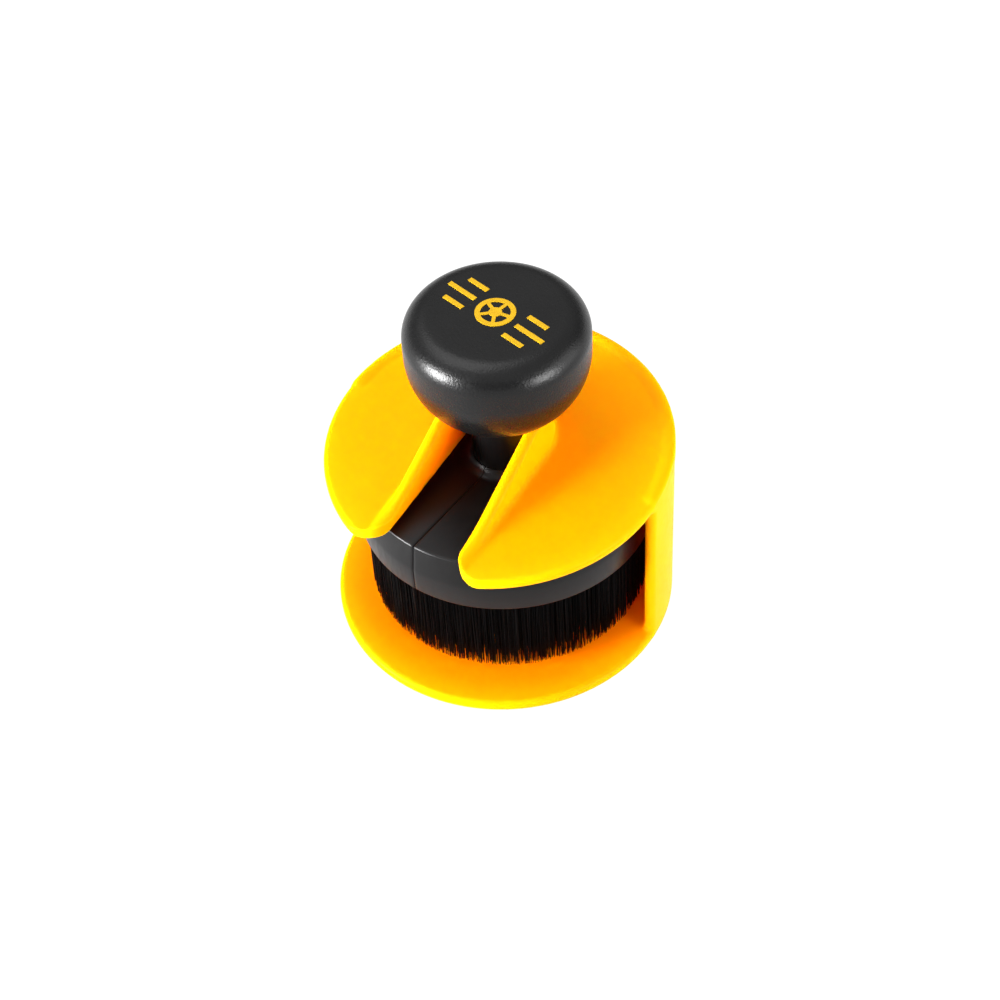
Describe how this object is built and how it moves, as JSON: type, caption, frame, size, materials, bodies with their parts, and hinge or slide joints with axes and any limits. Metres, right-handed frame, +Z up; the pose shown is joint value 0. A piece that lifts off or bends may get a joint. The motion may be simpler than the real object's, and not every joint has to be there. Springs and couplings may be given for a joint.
{
  "type": "wheel brush",
  "caption": "Round dense-bristle wheel brush with a bun-shaped knob, hanging in a one-piece holder with a slotted, leaning top plate, a half-round wall and a round base.",
  "frame": {"origin": "centre of the holder's underside, on the surface that the holder stands on", "axes": "+Z up along the brush's axis; the slot of the holder opens towards -Y and the half-round wall is at +Y"},
  "size_m": [0.084, 0.084, 0.0873],
  "materials": {
    "holder_yellow": "satin moulded yellow plastic",
    "knob_black": "fine-grained black plastic",
    "body_black": "smooth satin black plastic",
    "print_yellow": "pad-printed ink",
    "bristle_black": "dense soft black filaments",
    "block_black": "plain black plastic",
    "screw_steel": "zinc-plated steel",
    "glue": "set resin"
  },
  "bodies": {
    "holder_body": {"holder": "holder_yellow"},
    "brush_body": {"knob_shell": "knob_black", "knob_stem": "knob_black", "knob_mark": "print_yellow", "handle_screw": "screw_steel", "screw_washer": "screw_steel", "body_left": "body_black", "body_right": "body_black", "tuft_block": "block_black", "glue_bed": "glue", "tufts_ring_1": "bristle_black", "tufts_ring_2": "bristle_black", "tufts_ring_3": "bristle_black", "tufts_ring_4": "bristle_black", "tufts_ring_5": "bristle_black", "tufts_ring_6": "bristle_black", "tufts_middle": "bristle_black"}
  },
  "joints": [
    {"name": "brush_slide", "type": "slide", "parent": "holder_body", "child": "brush_body", "axis": [0, -1, 0], "range_m": [0, 0.09]}
  ]
}
